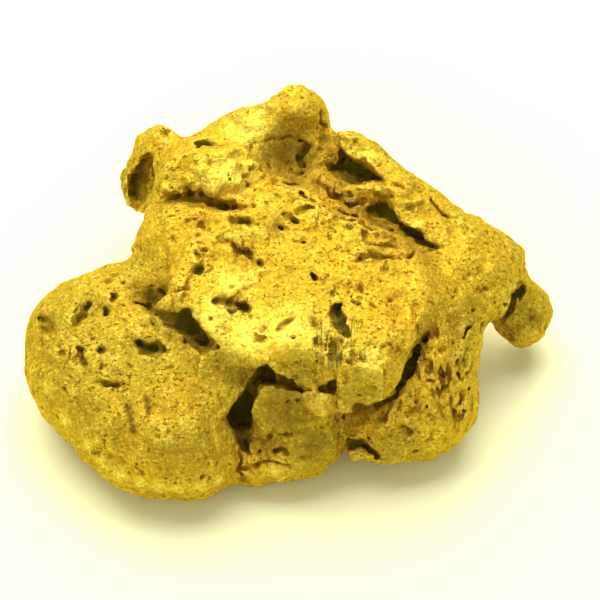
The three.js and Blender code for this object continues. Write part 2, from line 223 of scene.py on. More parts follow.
# Hollows and pits: (across, up, length, width, turn in degrees, depth).
PITS = [
    # left foot
    (-13.05, -0.85, 0.5, 0.3, -30, 0.4), (-12.95, -1.8, 0.3, 0.25, 0, 0.3),
    (-9.7, -0.55, 0.9, 0.28, 80, 0.3), (-9.75, -2.2, 0.35, 0.25, 0, 0.3),
    (-11.5, -3.7, 0.5, 0.22, -10, 0.25), (-9.8, -4.15, 0.35, 0.3, 40, 0.3),
    (-8.55, -4, 0.35, 0.15, 60, 0.2), (-11.7, -4.45, 0.45, 0.35, 20, 0.3),
    (-9.35, 0.2, 0.25, 0.2, 0, 0.2), (-9.6, -1.65, 0.25, 0.2, 0, 0.2), (-10.25, -1.15, 0.25, 0.2, 0, 0.2),
    (-8.75, 1, 0.3, 0.15, 70, 0.2), (-10.3, -1.7, 0.3, 0.3, 0, 0.2), (-9.85, -6.35, 0.35, 0.15, -30, 0.2),
    (-7.2, -6.7, 0.4, 0.18, -70, 0.2), (-5.8, -6.85, 0.25, 0.2, 0, 0.2),
    (-6, -8.6, 0.35, 0.15, -60, 0.25), (-4.7, -8.7, 0.4, 0.2, 10, 0.25), (-2.8, -3.95, 0.3, 0.2, 20, 0.2),
    (-4.15, -3.05, 0.25, 0.2, 0, 0.2), (-3.7, -7.7, 0.25, 0.4, 0, 0.2),
    # upper left lobe and brow
    (-6.6, 4.1, 0.5, 0.3, 45, 0.35), (-6.5, 3.2, 0.45, 0.2, -75, 0.3), (-4.6, 7, 0.4, 0.15, -10, 0.2),
    (-4, 6.9, 0.35, 0.12, 40, 0.15), (-3.4, 6.6, 0.4, 0.2, 0, 0.2), (-1.9, 4.5, 0.4, 0.15, 60, 0.25),
    (-1.2, 5.35, 1, 0.2, -52, 0.4), (-2.1, 5.1, 0.55, 0.3, 10, 0.4), (-0.35, 4.85, 0.6, 0.32, -30, 0.4),
    (-0.55, 5.3, 0.35, 0.2, 50, 0.3), (-0.9, 3.6, 0.85, 0.28, 8, 0.4), (-0.25, 3, 0.4, 0.22, -15, 0.3),
    (-8, 2.5, 0.5, 0.18, -65, 0.3), (-8.05, 1.85, 0.4, 0.15, 60, 0.25), (-7.7, 1.05, 0.3, 0.2, 0, 0.2),
    (-6.75, 0.35, 0.45, 0.26, 90, 0.35),
    # basin and peak
    (0.95, 9.7, 0.6, 0.22, -75, 0.4), (1.15, 8.95, 0.6, 0.3, -25, 0.45), (2.1, 3.9, 0.8, 0.3, -20, 0.15),
    # plateau
    (0.5, 1.2, 0.6, 0.35, -50, 0.5), (0.8, 1.05, 0.4, 0.15, -20, 0.25), (-3.6, -0.65, 0.7, 0.2, 0, 0.2),
    (-2.4, -0.35, 0.4, 0.12, 0, 0.15), (2.95, -0.15, 0.7, 0.2, -25, 0.35),
    (-0.75, -1.25, 0.5, 0.28, 10, 0.3), (-0.85, -1.65, 0.5, 0.14, 80, 0.25),
    (-0.3, -2.05, 0.3, 0.12, 0, 0.2), (4.5, 0.15, 0.35, 0.25, -20, 0.4),
    (4.3, -1.55, 0.7, 0.12, -8, 0.15), (1.5, 0.25, 0.35, 0.22, 70, 0.25), (2, 0.35, 0.25, 0.2, 40, 0.25),
    (2.6, 0.4, 0.3, 0.15, 30, 0.2), (3.15, 0.5, 0.3, 0.2, -40, 0.25), (3.75, 0.75, 0.3, 0.2, 0, 0.25),
    (4.15, 0.35, 0.25, 0.15, 0, 0.2), (4.8, 1.1, 0.4, 0.15, -10, 0.2), (5, 2.3, 0.6, 0.25, 10, 0.15),
    # ridge, shoulder and knob
    (4.85, 5.7, 0.45, 0.22, -15, 0.35), (11.75, -0.8, 1.1, 0.5, 80, 0.3),
    (11.25, -1.8, 0.25, 0.18, 70, 0.2),
    # right flank and foot
    (6.45, -4.25, 0.5, 0.22, 5, 0.3), (7.5, -2.9, 0.18, 0.5, 0, 0.3), (7.5, -3.8, 0.14, 0.45, 0, 0.25),
    (7.85, -3, 0.2, 0.45, 0, 0.25), (8.6, -3.2, 0.25, 0.35, 0, 0.3), (8.5, -2.5, 0.25, 0.3, 0, 0.25),
    (8.1, -4.75, 0.3, 0.45, 0, 0.35), (7.6, -5.05, 0.4, 0.2, 0, 0.25), (7.05, -4.95, 0.25, 0.2, 0, 0.2),
    (6.5, -5.6, 0.25, 0.35, 0, 0.25), (5.65, -5.25, 0.2, 0.5, 20, 0.3), (5.9, -5.8, 0.35, 0.2, -30, 0.3),
    (8, -6.2, 0.3, 0.2, 0, 0.2), (5.4, -6.45, 0.55, 0.15, -22, 0.3),
    # middle foot
    (-0.65, -5.1, 0.2, 0.15, 0, 0.2), (-0.6, -6.75, 0.4, 0.15, -15, 0.25),
    (-2.65, -8.55, 0.35, 0.25, 0, 0.35), (-2.1, -7.75, 0.4, 0.3, 40, 0.5), (1.9, -5.9, 0.3, 0.2, 0, 0.25),
    (2.3, -5.8, 0.2, 0.3, 0, 0.25), (1, -5.3, 0.2, 0.15, 0, 0.12),
]

# Cracks, clefts and gaps: (depth, [(across, up, half width), ...]).
CRACKS = [
    # hole under the right foot
    (0.4, [(3.4, -7, 0.1), (3.85, -7.35, 0.06)]),
    # upper left lobe
    (0.25, [(-5.5, 5.95, 0.06), (-5.2, 5.85, 0.1), (-5.1, 5.65, 0.06)]),
    (0.2, [(-3.1, 4.6, 0.08), (-2.4, 4.65, 0.05)]),
    (0.25, [(-5.35, 1.3, 0.07), (-5.65, 0.8, 0.06), (-5.65, 0.45, 0.08), (-6.2, 0.45, 0.05)]),
    # right edge of the upper left lobe, and the folds beside it
    (0.3, [(-2.8, 7.7, 0.07), (-2.45, 7.4, 0.1), (-2.15, 7.05, 0.08), (-2, 6.5, 0.05)]),
    (0.25, [(-1.8, 7.6, 0.05), (-1.7, 7, 0.07), (-1.65, 6.3, 0.06)]),
    (0.25, [(-4.4, 3.2, 0.07), (-3.9, 3.05, 0.07)]),
    # overhang above the basin
    (0.15, [(-1.65, 8.12, 0.05), (-0.9, 8.14, 0.05), (-0.4, 8.06, 0.05), (0.2, 7.9, 0.05)]),
    # folds beside the peak
    (0.3, [(1.15, 8.95, 0.08), (1.15, 8.2, 0.07), (1.1, 7.3, 0.09)]),
    (0.25, [(1.35, 8.9, 0.07), (1.4, 8.2, 0.05)]),
    (0.25, [(1.8, 8.6, 0.06), (1.85, 8.1, 0.08)]),
    # terraces of the valley below the ridge
    (0.4, [(0.5, 6.1, 0.07), (1.4, 5.5, 0.13), (2.4, 5, 0.1), (3.2, 4.6, 0.07)]),
    (0.35, [(0.2, 5.2, 0.07), (1.2, 4.7, 0.12), (2.2, 4.5, 0.08), (3.1, 4, 0.1)]),
    (0.35, [(2, 4.1, 0.07), (3.1, 3.9, 0.1), (4.1, 3.3, 0.12), (5, 2.9, 0.07)]),
    (0.3, [(3.3, 3.2, 0.06), (4.4, 2.6, 0.09), (5.4, 2.35, 0.07), (6.6, 2.5, 0.06)]),
    (0.3, [(2.9, 2.8, 0.06), (3.8, 2.2, 0.09), (4.6, 2.1, 0.06)]),
    # ridge and shoulder
    (0.45, [(6.5, 5.1, 0.07), (6.8, 4.75, 0.13), (7.2, 4.45, 0.12), (7.7, 4.15, 0.07)]),
    (0.25, [(9.4, 3.3, 0.06), (10, 2.8, 0.09), (10.6, 2.2, 0.06)]),
    (0.35, [(9, 0.4, 0.06), (9.5, 0.55, 0.1), (9.85, 0.1, 0.09), (9.95, -0.8, 0.06)]),
    (0.35, [(8.3, -1.7, 0.06), (8.65, -1.35, 0.08), (9, -1.05, 0.12), (9.15, -1.9, 0.06)]),
    # top of the upper left lobe
    (0.5, [(-5.2, 7.72, 0.07), (-4.9, 7.85, 0.13), (-4.5, 7.8, 0.12), (-4.1, 7.7, 0.07)]),
    (0.12, [(4.6, 5.8, 0.06), (4.95, 5.65, 0.06), (5.7, 5.35, 0.04)]),
    (0.12, [(3.1, 5.45, 0.04), (3.9, 5.15, 0.05)]),
    (0.2, [(5.45, 4.65, 0.06), (5.65, 4.5, 0.1), (6, 4.6, 0.05)]),
    # plateau: the edge of the right flank
    (0.35, [(5.8, -0.2, 0.1), (5.85, -0.9, 0.13), (5.95, -1.4, 0.08)]),
    # torn streaks on the lip
    (0.2, [(0.85, -1.5, 0.05), (1, -2.3, 0.07)]),
    (0.25, [(1.3, -1.9, 0.06), (1.5, -2.9, 0.1)]),
    (0.25, [(1.85, -2.2, 0.08), (2.1, -3.1, 0.12)]),
    (0.2, [(2.55, -2.2, 0.06), (2.7, -2.9, 0.08)]),
    (0.2, [(-0.75, -1.1, 0.1), (-0.85, -1.7, 0.06)]),
    # middle foot, and the crease between it and the left foot
    (0.5, [(-2.8, -7.6, 0.14), (-2.9, -8.3, 0.12), (-2.95, -9.1, 0.14)]),
    (0.15, [(-2, -6.25, 0.04), (-1.3, -6.7, 0.07), (-0.5, -6.75, 0.09), (0.4, -6.6, 0.04)]),
    (0.3, [(-2.4, -8.25, 0.12), (-1.4, -8.15, 0.07), (-0.5, -8.3, 0.07)]),
]

# Plates and facets: outline, then the plate's front face as depth (mm towards the eye) at the middle
# of the outline and its slopes to the right and upwards (positive where it turns to face that way),
# then the plate's thickness and how far its corner with the body is rounded.
PLATES = [
    # upper lip: its top, the tongue under it, and the block's front and right faces
    ([(-5.7, 0.9), (-5.3, -0.6), (-5, -1.2), (-4.2, -1.95), (-3.3, -2.05), (-2.7, -2.2), (-2.4, -2.7),
      (-1.95, -3.05), (-1.4, -2.5), (-0.5, -2.35), (0.5, -2.35), (1, -2.6), (1.5, -3.15), (2.2, -3.35),
      (3.7, -3.45), (4.1, -3.1), (5, -2.65), (5.6, -2), (5.9, -1.2), (6, -0.2), (4.6, 0.9),
      (-4.5, 1.4)], 5.1, (0, 0.5), 0.7, 0.1),
    ([(-1.55, -3), (-1.2, -2.4), (0.4, -2.3), (1.1, -2.6), (1.9, -3.2), (1.85, -3.95), (1.4, -4.1),
      (0.7, -4.55), (0.2, -4.45), (-0.3, -4.05), (-1, -3.75), (-1.5, -3.3)], 6, (-0.1, -0.5), 1, 0.04),
    ([(1.8, -3.1), (3.7, -3.35), (4, -3.1), (4.15, -4.95), (3.4, -5.2), (2.8, -5.15), (2.6, -5.55),
      (2, -5.55), (1.85, -4.5)], 6.35, (-0.05, -0.45), 1.5, 0.04),
    ([(3.9, -3.1), (5, -2.7), (5.45, -2.2), (5.2, -3.3), (4.9, -4.3),
      (4.05, -4.95)], 6.1, (0.6, -0.35), 1.5, 0.04),
    # middle foot: its upper facet and the small scale on it
    ([(-2.1, -4.3), (-1, -4.2), (1.6, -4.2), (1.9, -5.4), (1, -6.1), (-0.2, -6.5), (-1.4, -6.6),
      (-2.1, -6.3), (-2.45, -5.6), (-2.3, -5)], 5.1, (0, -0.15), 1.2, 0.35),
    ([(0.2, -4.6), (1.9, -4.5), (1.95, -5.2), (1.6, -5.6), (1.1, -5.75), (0.65, -5.6),
      (0.3, -5.2)], 5.55, (0.15, -0.2), 0.8, 0.04),
    # right foot, lower left
    ([(2.5, -6.7), (2.3, -7.1), (2.5, -7.5), (2.75, -7.9), (3.3, -8.1), (4.2, -8.15), (5.4, -8),
      (5.4, -6.8), (4.2, -6.2), (3.2, -6.3)], 3.2, (-0.3, -0.3), 1, 0.4),
    # left foot, where it runs up to the lip
    ([(-5, -2.8), (-4.1, -2.2), (-2.8, -2.15), (-2.1, -3), (-2.4, -3.95), (-2.95, -4.7), (-3.75, -5.7),
      (-4.6, -5.6), (-5.2, -4.2)], 4.75, (0.25, 0.15), 1.6, 0.4),
    # the ridge's two folds
    ([(2, 8.2), (2, 7.75), (2.5, 7.2), (3.1, 6.9), (3.6, 6.55), (4.2, 6.15), (4.6, 5.8), (5.5, 5.9),
      (4.4, 7), (3.1, 7.9)], 0, (0.1, 0.4), 1.4, 0.5),
    ([(3.2, 5.55), (3.7, 5.25), (4.3, 5.1), (4.6, 4.6), (5, 4), (5.6, 3.65), (6.1, 3.35), (6.45, 2.95),
      (7.1, 2.6), (7.2, 3.3), (6.6, 4.3), (5.9, 5), (4.8, 5.6), (3.8, 5.8)], 0.95, (0.15, 0.4), 1.4, 0.8),
    # ear
    ([(-8.8, 6.2), (-8.65, 5.3), (-8.25, 4.6), (-7.9, 4.35), (-7.4, 4.8), (-6.9, 5.3), (-6.6, 7),
      (-6.3, 7.8), (-6.5, 8.35), (-7.05, 8.6), (-7.6, 8.4), (-8.1, 7.9),
      (-8.6, 7.1)], -3, (-0.7, 0.1), 1.3, 0.4),
    # upper left lobe
    ([(-6.9, 5.3), (-6.9, 6.5), (-6.3, 7.3), (-5, 7.6), (-2.9, 7.6), (-2.2, 6.9), (-1.85, 6), (-2, 5.2),
      (-2.9, 4.9), (-3.9, 5), (-4.6, 5.4), (-5, 5.6), (-5.8, 5.4)], 0.65, (0.05, 0.25), 1, 0.4),
]

# Deep cuts: outline, depth of the floor towards the eye, and its slopes.
CUTS = [
    # cave between the left and middle feet
    ([(-1.5, -3.1), (-2.1, -3.3), (-2.45, -4), (-2.9, -4.85), (-3.4, -5.35), (-3.65, -5.8), (-3.45, -6.4),
      (-3.2, -7), (-2.85, -7.6), (-2.5, -7.7), (-2.45, -7), (-2.55, -6.1), (-2.35, -5.2), (-2.05, -4.7),
      (-1.9, -4.2), (-1.2, -4.2), (-1.2, -3.5)], 3, (0.5, -0.25)),
    # gap under the tongue
    ([(-1.5, -3.3), (-0.9, -3.8), (-0.3, -4.05), (0.2, -4.45), (0.7, -4.55), (0.85, -4.6), (0.2, -4.68),
      (-0.5, -4.5), (-1.2, -4.3), (-1.6, -4)], 4.4, (0.3, 0)),
    ([(0.75, -4.5), (1.4, -4.05), (1.85, -3.95), (1.85, -4.65), (1.2, -4.7)], 4.6, (0, 0)),
    # crack between the lip and the right foot
    ([(6.5, -1.5), (6.05, -2.05), (5.6, -2.5), (5.25, -3.2), (4.95, -4.1), (4.75, -4.65), (4.2, -5),
      (3.4, -5.2), (2.95, -5.05), (2.65, -5.2), (2.65, -5.85), (3.1, -5.6), (3.6, -5.5), (4.35, -5.2),
      (4.95, -4.85), (5.2, -4.3), (5.75, -3.75), (5.85, -3.1), (6.25, -2.3)], 3.1, (0.2, 0.1)),
    # hole under the right foot
    ([(2.3, -7.15), (2.4, -6.85), (3.1, -6.95), (3.5, -7.2), (4, -7.75), (3.95, -8), (3.5, -8),
      (3.1, -7.6), (2.5, -7.4)], 2.35, (0, 0)),
    # cleft between the left foot and the upper lip
    ([(-8.3, -0.1), (-7.75, -0.2), (-7.6, 0.6), (-7.4, 0.7), (-7.35, -0.3), (-7.2, -0.6), (-6.4, -0.55),
      (-5.8, -0.4), (-5.45, -0.35), (-5.2, -0.9), (-4.9, -1.35), (-4.3, -1.95), (-3.95, -2.4),
      (-4.3, -2.55), (-4.8, -2.75), (-5.2, -2.5), (-5.45, -2.1), (-5.7, -1.75), (-6.3, -1.45),
      (-6.85, -1.05), (-7.55, -0.7)], 2.5, (-0.45, 0.4)),
    # pockets under the ridge
    ([(1.25, 6.45), (1.85, 6.85), (2, 7.6), (2.45, 7.15), (3.05, 6.85), (3.55, 6.5), (4.2, 6.1), (4.2, 6),
      (3.5, 5.95), (2.9, 5.85), (2.2, 6.3), (1.7, 6.4)], -2.1, (0, 0.75)),
    ([(3.2, 4.5), (3.6, 4.75), (4.1, 4.95), (4.4, 4.75), (4.7, 4.4), (5, 4), (4.9, 3.75), (4.5, 3.9),
      (4.1, 4.1), (3.5, 4.1)], -0.5, (0.1, 0.6)),
    ([(4.9, 4.1), (5.4, 3.7), (6.1, 3.35), (6.4, 2.95), (7.15, 2.57), (6.8, 2.55), (6.3, 2.7),
      (5.8, 2.85), (5.5, 3.1), (5.1, 3.4)], 0.1, (-0.1, 0.5)),
    # groove between the shoulder and the knob
    ([(10.75, 0.6), (11.05, 0.95), (11.35, 0.7), (11.45, 0.3), (11.1, 0.2), (10.9, -0.2), (10.5, -0.75),
      (10.05, -1.3), (9.9, -1.15), (10.3, -0.6), (10.5, -0.1), (10.6, 0.35)], -1.2, (-0.5, 0)),
    # hollow of the ear
    ([(-7.5, 7.5), (-7.9, 7.2), (-8.2, 6.7), (-8.5, 6.2), (-8.65, 5.6), (-8.5, 4.9), (-8.15, 4.4),
      (-7.8, 4.8), (-7.4, 5.4), (-7.2, 6.2), (-7.25, 7)], -4.6, (-1.1, 0)),
]

# Ragged holes: outline and depth below the surface.
HOLES = [
    # plateau slot, and the torn patch below it
    ([(1.4, -0.7), (1.8, -0.2), (2.1, -0.1), (2.2, -0.6), (2.4, -1.3), (2.6, -1.8), (2.5, -2.05),
      (2.1, -1.85), (1.7, -1.4)], 1.1),
    ([(1.2, -1), (1.6, -1.4), (2.2, -2), (2.7, -2.1), (2.75, -2.7), (2.2, -3.3), (1.6, -3.1)], 0.1),
    # left foot
    ([(-8.35, -2.1), (-8, -1.95), (-7.7, -2.15), (-7.1, -2.1), (-6.7, -2.3), (-6.65, -2.6), (-7.1, -2.8),
      (-7.9, -2.7)], 0.7),
    ([(-10.6, 0.25), (-10.4, -0.2), (-10.6, -0.7), (-11, -1.3), (-11.4, -1.35), (-11.35, -1),
      (-10.9, -0.6)], 0.5),
    ([(-13.2, -0.8), (-12.9, -0.65), (-12.4, -0.9), (-12, -1.4), (-12.5, -1.9), (-13.1, -1.6)], 0.25),
    ([(-9.9, -4), (-9.6, -4.1), (-9.2, -4.15), (-8.6, -4.15), (-9, -4.5), (-9.4, -4.6),
      (-9.8, -4.4)], 0.35),
    ([(-11.15, -2.35), (-10.85, -2.6), (-10.55, -3.2), (-10.75, -3.4), (-10.95, -3)], 0.4),
    ([(-10.3, -2.75), (-10.05, -2.4), (-9.6, -2.3), (-9.75, -2.6)], 0.35),
    ([(-9.85, 0.75), (-9.5, 1.2), (-9.2, 1.4), (-9.4, 0.95)], 0.35),
    # upper left
    ([(-3.7, 4.1), (-3.3, 4.15), (-2.8, 4.1), (-2.1, 3.8), (-2.6, 3.7), (-2.9, 3.55), (-3.4, 3.6)], 0.4),
    ([(-5.4, 1.3), (-5.35, 1.6), (-5.1, 1.75), (-4.85, 2.2), (-4.7, 1.5), (-5, 1.3)], 0.45),
    ([(-3.8, 3.05), (-3.3, 2.85), (-2.9, 2.6), (-2.5, 2.55), (-2.1, 2.2), (-1.7, 1.6), (-2.1, 1.65),
      (-2.7, 2), (-3.2, 2.4)], 0.22),
    ([(-5.1, 4), (-4.9, 3.9), (-4.6, 3.6), (-4.65, 3.45), (-4.95, 3.5)], 0.25),
    ([(-6.85, 5.1), (-6.4, 5.28), (-5.8, 5.28), (-5.6, 5.5), (-5.1, 5.5), (-4.9, 5.8), (-4.75, 5.4),
      (-4.3, 5.15), (-3.9, 4.85), (-3.4, 4.95), (-3, 4.7), (-3.3, 4.5), (-3.9, 4.4), (-4.3, 4.8),
      (-4.8, 5.1), (-5.2, 5.2), (-5.8, 5.1), (-6.5, 5)], 0.5),
    # pit on the lip
    ([(-4.3, 0), (-3.9, 0.3), (-3.7, 0), (-3.3, 0), (-3.1, 0.3), (-2.85, -0.1), (-2.3, -0.4),
      (-2.6, -0.75), (-3.1, -0.7), (-3.6, -0.95), (-3.7, -0.45)], 0.45),
    # right foot
    ([(6.25, -3.5), (6.4, -3.1), (6.6, -3.3), (6.8, -3.5), (6.55, -3.7), (6.3, -3.7)], 0.3),
    ([(3.65, -5.85), (3.8, -5.7), (4.4, -5.8), (4.2, -6), (3.8, -6.1)], 0.3),
    # dirt-filled hollows on the middle foot
    ([(-2.5, -6.9), (-1.8, -6.8), (-1.3, -7), (-1.35, -7.9), (-2.2, -8), (-2.45, -7.5)], 0.12),
]

# Groups of small marks: (across, up, spread, count, length, width, turn in degrees, depth).
GROUPS = [
    # pits of the right foot, the plateau, the upper left and the lip's pit
    (7, -4.4, 3.4, 110, 0.26, 0.18, 80, 0.2),
    (4, -0.8, 3.4, 50, 0.2, 0.13, -20, 0.12),
    (-4.9, 3.9, 2.4, 44, 0.3, 0.17, 30, 0.18),
    (-3.4, -0.2, 1.5, 24, 0.26, 0.14, 60, 0.16),
    (-9.8, -1.8, 3.6, 30, 0.22, 0.15, 60, 0.14),
    # streaks of the valley below the ridge
    (1, 4.8, 3, 60, 0.6, 0.17, -32, 0.18),
    (3.7, 2.9, 2.4, 50, 0.7, 0.17, -25, 0.18),
    (-0.5, 6.8, 2, 30, 0.5, 0.17, 80, 0.14),
    # streaks of the torn patch, the right foot and the middle foot
    (1.8, -2.2, 1.5, 30, 0.7, 0.13, -72, 0.2),
    (-1.6, -2, 1.3, 12, 0.4, 0.11, -60, 0.1),
    (7.6, -3.8, 2.2, 30, 0.45, 0.16, -86, 0.2),
    (-1, -7.2, 2, 26, 0.4, 0.15, 5, 0.14),
]

# Thin scratches on the left foot: both ends, (across, up). Each is a row of small patches.
SCRATCHES = [((-8.65, -5.25), (-8.3, -6.65)), ((-7.7, -4.95), (-7.55, -5.8))]
SCRATCH_RADIUS = 0.15
SCRATCH_SHARES = np.linspace(0, 1, 20)

# Patches of colour: (across, up, radius). Some of them are painted shade or painted highlight, as noted.
PATCHES = {
    # pale gold: wear, and painted highlight on the lip and the upper lobes, and a painted reflection along
    # the left foot's lower rim
    "worn": [
        (-4, -0.8, 1.6), (-2.6, -1.7, 1.7), (-0.6, -1.4, 1.5), (0.9, -2, 1), (3.4, -3, 0.9),
        (-3.6, 6.2, 1.7), (1.1, -5.1, 0.6), (-2.6, 8.6, 1.5), (-3.3, 0.9, 1.2), (-1.4, -8.5, 0.5),
        (-10.6, -7.3, 0.6), (-12.6, -4.4, 0.5), (-11.8, -6, 0.5), (-9.9, -8.1, 0.45), (-9, -8.75, 0.5),
        (-8.1, -9.15, 0.45), (-7.1, -9.4, 0.5), (-6, -9.5, 0.45), (-5, -9.35, 0.5), (-4, -9, 0.45),
        (3.4, 7.2, 0.5), (5.9, 3.7, 0.4),
    ],
    # deeper, warmer gold
    "ochre": [
        (-0.4, 6.8, 1.9), (1.2, 5.2, 1.7), (3, 4.3, 1.6), (5.2, 3.1, 1.3), (4.2, -0.9, 1.9),
        (2.6, 1.4, 1.6), (-6.1, 1.1, 1.2), (-4.6, 4.2, 1.3), (-2.6, 2.2, 1), (-5.3, -2, 0.8), (-8, -7.2, 2),
        (-11.4, -2.9, 0.8), (-9, -4.2, 0.9), (5.3, -5.3, 0.8), (3, -6.3, 1), (-1.4, -7.2, 1.2),
        (0.5, 3.4, 1.2), (-7.4, 7, 0.8), (-2.6, -8.3, 0.6), (-12.8, -1.6, 0.6),
    ],
    # brown stain, and painted shade over the basin, in the cave and on the middle foot under the lip
    "brown": [
        (-0.9, 7.3, 1.4), (0.3, 6.6, 1.2), (1.5, 5.5, 0.9), (-0.2, 5.9, 1), (3.9, 4.4, 0.9),
        (5.3, 3.4, 0.6), (2.5, 6.3, 1.2), (-5.3, -2.1, 0.6), (-6.4, -0.8, 0.7), (-1.8, -4, 0.9),
        (-1.7, -7.3, 0.8), (-2.3, -6, 0.6), (3.3, -5.5, 0.6), (-8.1, 6, 0.7), (-2.6, 2.2, 0.5),
        (5.6, -3.4, 0.5), (-1.2, 3.6, 0.6), (-4.9, 3.9, 0.6), (-3.3, -0.4, 0.6), (-7.4, -2.5, 0.5),
        (10.6, -0.2, 0.7), (-1.3, 6.6, 1), (0, 7.5, 1), (-1.4, 7.6, 0.8), (-0.5, 8, 0.6), (1.3, 8, 0.7),
        (0.8, 5.8, 1), (2.6, 4.9, 0.9), (3.5, 3.9, 0.9), (4.7, 3, 0.9), (5.6, 2.6, 0.6), (3.8, 2.3, 0.5),
        (11.7, -0.9, 0.55), (-2.9, -6.9, 0.6), (-2.7, -7.5, 0.5), (-1.2, -4.7, 0.5), (-7.6, 0.3, 0.6),
        (-6.8, -0.7, 0.6), (-0.7, -5.5, 1.3), (0.6, -7.3, 0.8), (-3.9, 0.1, 0.35), (-2.7, -0.3, 0.35),
        (-12.6, -1.3, 0.5), (-9.9, -2.6, 0.35),
    ],
    # dull olive gold: painted shade on faces turned away from the light: the left foot, the tongue, the
    # block's front, the middle foot, the knob, the ear's hollow and the basin
    "olive": [
        (-8.5, -3.5, 4.6), (-11, -1, 3), (-6, -6.5, 2.7), (-3.4, -3.6, 1.7), (0.2, -3.5, 1.5),
        (3, -4.4, 1.6), (-0.8, -5.8, 2.6), (1, -7.4, 2.2), (11.3, -1, 1.9), (-8.4, 6.2, 1.2),
        (5, -7.3, 1.4), (-8.4, 1.6, 1.2), (7.8, -1, 1.8), (-0.8, 7, 1.6),
    ],
    # streaks where the gold was torn
    "torn": [
        (1.4, -1.7, 1), (1.9, -2.6, 0.9), (2.5, -1.6, 0.7), (2.9, -3, 0.6), (0.7, -1.2, 0.6),
    ],
    # painted shade: dirt colour laid over caves, gaps, pockets and hollows that lie in shade
    "dark": [
        (-8.35, 6, 0.6), (-8.25, 5.2, 0.5), (-3, -5.6, 1.1), (-2, -3.9, 0.7), (0.3, -4.55, 0.35),
        (1.4, -4.35, 0.4), (2.6, 6.5, 0.8), (3.6, 6.1, 0.6), (5.6, 3.3, 0.6), (6.5, 2.7, 0.4),
        (4.2, 4.5, 0.5), (11.1, 0.5, 0.4), (10.4, -0.7, 0.4), (-3.3, -0.4, 0.6), (-5.6, -1.2, 0.8),
        (-4.6, -2.2, 0.6), (-7.5, 0.3, 0.5), (-7, -0.6, 0.5), (3.1, -5.4, 0.4), (5.1, -4, 0.6),
        (5.9, -2.6, 0.5), (3.2, -7.3, 0.6), (-0.9, 8.05, 0.35), (-0.2, 7.95, 0.3), (-2.9, 3.85, 0.5),
        (-5, 1.7, 0.4), (2, -1.2, 0.4), (-7.5, -2.4, 0.5),
    ],
    # short rusty ticks
    "ticked": [
        (7.2, -4, 2), (4.8, -5.9, 1.1), (8, -5.3, 1.1), (6.9, -1.9, 0.8), (-3.3, -0.3, 0.75),
        (0.6, 6.3, 1.1), (-2.8, 2.3, 0.8), (2, 0.3, 0.7), (1.6, 5.4, 0.8), (-11.2, -2.8, 0.6),
    ],
    # painted deep shade: near-black in the ear's hollow, the cleft, the slot, the holes and the grooves
    "painted_deep_shade": [
        (-8.3, 6, 0.45), (-8.3, 5.3, 0.45), (-8, 6.8, 0.3), (-7.5, 0.1, 0.3), (-6.9, -0.7, 0.4),
        (-6.1, -0.95, 0.45), (-5.4, -1.3, 0.5), (-4.8, -2.1, 0.4), (1.9, -0.6, 0.45), (2.2, -1.2, 0.45),
        (2.4, -1.8, 0.4), (1.9, -2.9, 0.35), (2.8, -7.15, 0.4), (3.4, -7.4, 0.4), (3.8, -7.8, 0.3),
        (-7.8, -2.35, 0.3), (-7.1, -2.45, 0.3), (-5.1, 1.5, 0.3), (11.05, 0.65, 0.3), (-4.6, 7.8, 0.3),
    ],
    # rust in the scratches
    "scratched": [
        (x0 + (x1 - x0) * share, y0 + (y1 - y0) * share, SCRATCH_RADIUS)
        for (x0, y0), (x1, y1) in SCRATCHES for share in SCRATCH_SHARES
    ],
}


def smooth_max(a, b, stretch):
    """The larger of two arrays, with the corner between them rounded over a stretch."""
    share = np.maximum(stretch - np.abs(a - b), 0) / stretch
    return np.maximum(a, b) + share * share * stretch / 4


def line_of_sight(across, up):
    """Unit direction from the eye through a point of the view plane."""
    way = VIEW_TARGET + VIEW_RIGHT * across + VIEW_UP * up - EYE
    return way / np.linalg.norm(way)


def first_hit(tree, across, up):
    """The surface point in line with a place in the view, and its normal. Both are None off the nugget."""
    return tree.ray_cast(Vector(EYE), Vector(line_of_sight(across, up)))[:2]


def mesh_arrays(obj):
    """Vertices in mm and triangles of a mesh object."""
    mesh = obj.data
    mesh.calc_loop_triangles()
    points = np.zeros(len(mesh.vertices) * 3, np.float32)
    mesh.vertices.foreach_get("co", points)
    triangles = np.zeros(len(mesh.loop_triangles) * 3, np.int32)
    mesh.loop_triangles.foreach_get("vertices", triangles)
    return points.reshape(-1, 3) / MM, triangles.reshape(-1, 3)


def outline_distance(x, y, outline):
    """Distance to a closed outline, negative inside."""
    nearest = np.full(x.shape, np.inf, np.float32)
    inside = np.zeros(x.shape, bool)
    for (x0, y0), (x1, y1) in zip(outline[-1:] + outline[:-1], outline):
        dx, dy = x1 - x0, y1 - y0
        along = np.clip(((x - x0) * dx + (y - y0) * dy) / (dx * dx + dy * dy), 0, 1)
        nearest = np.minimum(nearest, np.hypot(x - x0 - along * dx, y - y0 - along * dy))
        if y0 != y1:
            inside ^= ((y0 > y) != (y1 > y)) & (x < x0 + (y - y0) / dy * dx)
    return np.where(inside, -nearest, nearest)


def sloping(across, up, outline, slopes):
    """How far a sloping face falls away from its height at the middle of an outline."""
    middle = np.mean(outline, axis=0)
    return slopes[0] * (across - middle[0]) + slopes[1] * (up - middle[1])


